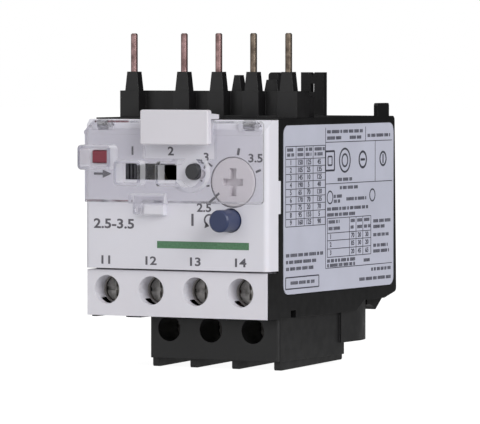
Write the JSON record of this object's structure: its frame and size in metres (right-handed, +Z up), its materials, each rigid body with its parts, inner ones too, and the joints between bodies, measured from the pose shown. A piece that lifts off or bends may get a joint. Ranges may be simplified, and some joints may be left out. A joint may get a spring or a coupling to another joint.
{
  "type": "thermal overload relay",
  "caption": "Compact thermal overload relay with plug pins on top, setting dial under a clear hinged cover, reset button, test lever and screw terminals.",
  "frame": {"origin": "middle pole pin, where it leaves its boss", "axes": "+Z up along the plug pins, +X to the right seen from the front, +Y from the front panel to the rear"},
  "size_m": [0.0451, 0.0668, 0.0725],
  "materials": {
    "black_plastic": "moulded black polyamide, fine matt grain",
    "black_plastic_cover": "moulded black polyamide, fine matt grain",
    "black_plastic_pin_block": "moulded black polyamide, satin",
    "black_plastic_terminals": "moulded black polyamide, fine matt grain",
    "black_plastic_selector": "moulded black plastic",
    "dark_plastic_stud": "dark grey plastic, smooth",
    "label_film": "printed pale grey film",
    "white_plastic": "moulded off-white plastic, fine matt grain",
    "white_plastic_strip": "moulded off-white plastic, fine matt grain",
    "white_plastic_tag": "moulded off-white plastic, smooth",
    "white_plastic_dial": "moulded off-white plastic, smooth",
    "clear_plastic": "clear moulded polycarbonate",
    "natural_plastic": "natural acetal, unpigmented",
    "blue_plastic": "dark blue moulded plastic",
    "red_plastic": "red moulded plastic",
    "copper_metal": "bare copper, drawn",
    "brass_metal": "bare brass strip with silver tips",
    "zinc_steel": "zinc-plated steel",
    "spring_steel": "drawn steel wire",
    "bimetal_metal": "rolled bimetal strip",
    "heater_metal": "resistance alloy ribbon",
    "insulation_fabric": "woven glass sleeve"
  },
  "bodies": {
    "relay_base": {"main_housing": "black_plastic", "side_cover": "black_plastic_cover", "side_label": "label_film", "pin_block": "black_plastic_pin_block", "lower_terminal_block": "black_plastic_terminals", "front_panel": "white_plastic", "terminal_strip": "white_plastic_strip", "cover_pivot_pins": "spring_steel", "marker_tag": "white_plastic_tag", "rocker_pin": "spring_steel", "aux_saddles": "zinc_steel", "coil_pin": "copper_metal", "aux_pin": "copper_metal", "pole_links": "copper_metal", "insulation_sleeves": "insulation_fabric", "power_bars": "copper_metal", "power_saddles": "zinc_steel", "no_fixed_contact_1": "brass_metal", "no_fixed_contact_2": "brass_metal", "nc_fixed_contact_1": "brass_metal", "nc_fixed_contact_2": "brass_metal", "pole_pin_1": "copper_metal", "pole_pin_2": "copper_metal", "pole_pin_3": "copper_metal", "bimetal_1": "bimetal_metal", "bimetal_2": "bimetal_metal", "bimetal_3": "bimetal_metal", "heater_1": "heater_metal", "heater_2": "heater_metal", "heater_3": "heater_metal"},
    "cover": {"transparent_cover": "clear_plastic"},
    "dial": {"adjustment_dial": "white_plastic_dial", "dial_cam": "white_plastic_dial"},
    "link": {"adjusting_link": "natural_plastic"},
    "reset": {"reset_button": "blue_plastic", "reset_spring": "spring_steel"},
    "test": {"test_lever": "red_plastic", "test_spring": "spring_steel"},
    "selector": {"mode_selector": "black_plastic_selector"},
    "indicator": {"trip_indicator": "dark_plastic_stud"},
    "upper_slide": {"upper_trip_slide": "natural_plastic"},
    "lower_slide": {"lower_trip_slide": "natural_plastic"},
    "lever": {"trip_lever": "bimetal_metal"},
    "rocker": {"trip_rocker": "natural_plastic"},
    "carrier": {"contact_carrier": "natural_plastic", "no_contact_bridge": "brass_metal", "nc_contact_bridge": "brass_metal", "contact_spring": "spring_steel"},
    "aux_terminal_screw_1": {"aux_screw_1": "zinc_steel"},
    "aux_terminal_screw_2": {"aux_screw_2": "zinc_steel"},
    "aux_terminal_screw_3": {"aux_screw_3": "zinc_steel"},
    "aux_terminal_screw_4": {"aux_screw_4": "zinc_steel"},
    "power_terminal_screw_1": {"power_screw_1": "zinc_steel"},
    "power_terminal_screw_2": {"power_screw_2": "zinc_steel"},
    "power_terminal_screw_3": {"power_screw_3": "zinc_steel"}
  },
  "joints": [
    {"name": "cover_swing", "type": "hinge", "parent": "relay_base", "child": "cover", "pos_m": [-0.0019, -0.0155, -0.01125], "axis": [-1, 0, 0], "range_deg": [0, 105]},
    {"name": "dial_turn", "type": "hinge", "parent": "relay_base", "child": "dial", "pos_m": [0.0123, -0.015, -0.0235], "axis": [0, 1, 0], "range_deg": [0, 194]},
    {"name": "link_shift", "type": "slide", "parent": "relay_base", "child": "link", "axis": [-1, 0, 0], "range_m": [0, 0.0008]},
    {"name": "reset_press", "type": "slide", "parent": "relay_base", "child": "reset", "axis": [0, -1, 0], "range_m": [-0.003, 0], "stiffness_N_per_m": 300, "springref_m": 0.002, "deforming": ["reset_spring"]},
    {"name": "test_shift", "type": "slide", "parent": "relay_base", "child": "test", "axis": [1, 0, 0], "range_m": [0, 0.0015], "stiffness_N_per_m": 250, "springref_m": -0.002, "deforming": ["test_spring"]},
    {"name": "selector_shift", "type": "slide", "parent": "relay_base", "child": "selector", "axis": [1, 0, 0], "range_m": [0, 0.0092]},
    {"name": "trip_shift", "type": "slide", "parent": "relay_base", "child": "upper_slide", "axis": [-1, 0, 0], "range_m": [0, 0.002]},
    {"name": "lower_slide_shift", "type": "slide", "parent": "relay_base", "child": "lower_slide", "axis": [-1, 0, 0], "range_m": [0, 0.002]},
    {"name": "lever_swing", "type": "hinge", "parent": "link", "child": "lever", "pos_m": [-0.0167, 0.008, -0.01895], "axis": [0, 0, 1], "range_deg": [0, 9.6]},
    {"name": "rocker_swing", "type": "hinge", "parent": "relay_base", "child": "rocker", "pos_m": [-0.0099, -0.0045, -0.02855], "axis": [0, 1, 0], "range_deg": [0, 12.5]},
    {"name": "carrier_shift", "type": "slide", "parent": "relay_base", "child": "carrier", "axis": [0, 0, -1], "range_m": [0, 0.00211]},
    {"name": "indicator_shift", "type": "slide", "parent": "relay_base", "child": "indicator", "axis": [0, -1, 0], "range_m": [0, 0.0012]},
    {"name": "aux_screw_turn_1", "type": "hinge", "parent": "relay_base", "child": "aux_terminal_screw_1", "pos_m": [-0.0194, -0.0105, -0.0472], "axis": [0, -1, 0], "range_deg": [0, 450]},
    {"name": "aux_screw_turn_2", "type": "hinge", "parent": "relay_base", "child": "aux_terminal_screw_2", "pos_m": [-0.0084, -0.0105, -0.0472], "axis": [0, -1, 0], "range_deg": [0, 450]},
    {"name": "aux_screw_turn_3", "type": "hinge", "parent": "relay_base", "child": "aux_terminal_screw_3", "pos_m": [0.0026, -0.0105, -0.0472], "axis": [0, -1, 0], "range_deg": [0, 450]},
    {"name": "aux_screw_turn_4", "type": "hinge", "parent": "relay_base", "child": "aux_terminal_screw_4", "pos_m": [0.0136, -0.0105, -0.0472], "axis": [0, -1, 0], "range_deg": [0, 450]},
    {"name": "power_screw_turn_1", "type": "hinge", "parent": "relay_base", "child": "power_terminal_screw_1", "pos_m": [-0.0073, -0.0003, -0.0557], "axis": [0, -1, 0], "range_deg": [0, 450]},
    {"name": "power_screw_turn_2", "type": "hinge", "parent": "relay_base", "child": "power_terminal_screw_2", "pos_m": [0.003, -0.0003, -0.0557], "axis": [0, -1, 0], "range_deg": [0, 450]},
    {"name": "power_screw_turn_3", "type": "hinge", "parent": "relay_base", "child": "power_terminal_screw_3", "pos_m": [0.0133, -0.0003, -0.0557], "axis": [0, -1, 0], "range_deg": [0, 450]}
  ],
  "couplings": [
    {"joint": "dial_turn", "follows": "link_shift", "rad_per_m": 4232.4},
    {"joint": "lower_slide_shift", "follows": "trip_shift", "ratio": 1},
    {"joint": "lever_swing", "follows": "trip_shift", "rad_per_m": 83.333},
    {"joint": "rocker_swing", "follows": "trip_shift", "rad_per_m": 108.51},
    {"joint": "carrier_shift", "follows": "trip_shift", "ratio": 1.0525},
    {"joint": "indicator_shift", "follows": "trip_shift", "ratio": 0.6}
  ]
}
